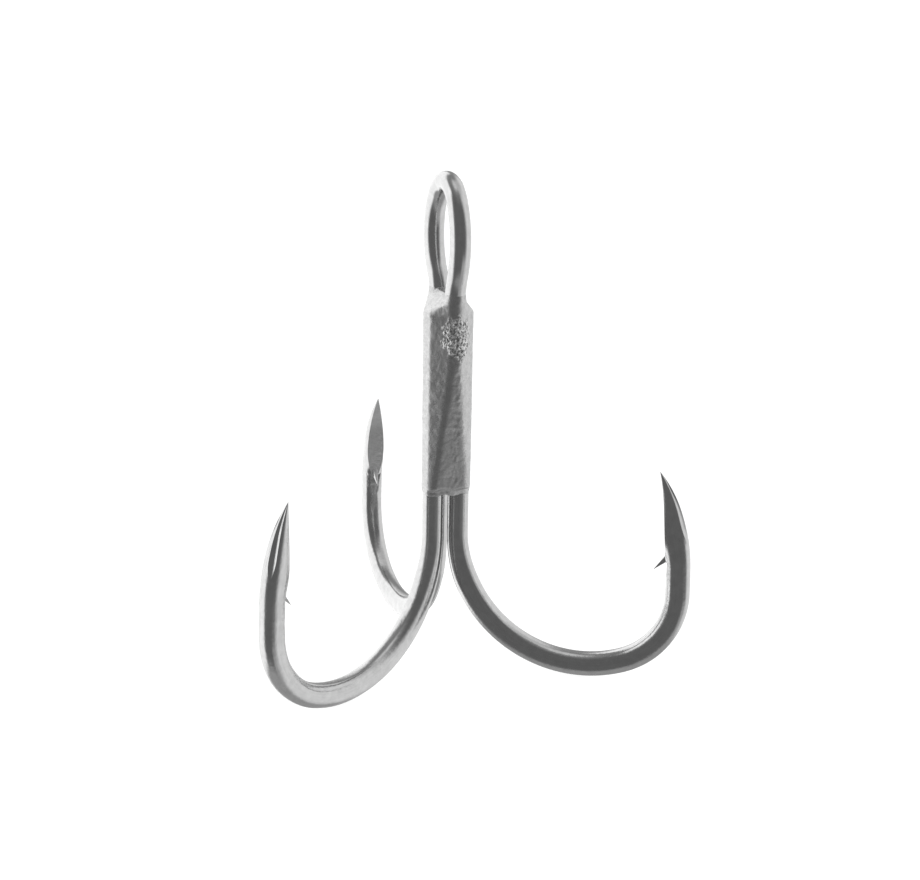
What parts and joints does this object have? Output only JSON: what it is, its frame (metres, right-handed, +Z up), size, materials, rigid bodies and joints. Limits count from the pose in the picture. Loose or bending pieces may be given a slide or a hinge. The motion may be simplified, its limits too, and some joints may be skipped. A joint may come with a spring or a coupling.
{
  "type": "treble fishing hook",
  "caption": "Treble hook: barbed hooks spread round one brazed shank, with a long loop eye on top for a split ring or line.",
  "frame": {"origin": "middle of the eye's opening, on the shank's axis", "axes": "+Z up the shank towards the eye, +Y from the shank towards the eyed hook's bend, +X through the eye's hole"},
  "size_m": [0.037, 0.0341, 0.043],
  "materials": {
    "wire": "bright tinned steel wire with a soft shine, bright ground points",
    "braze": "dull tinned braze, slightly rough, with a pitted patch near the top"
  },
  "bodies": {
    "root": {"eyed_hook": "wire", "right_hook": "wire", "left_hook": "wire", "braze": "braze"}
  },
  "joints": []
}
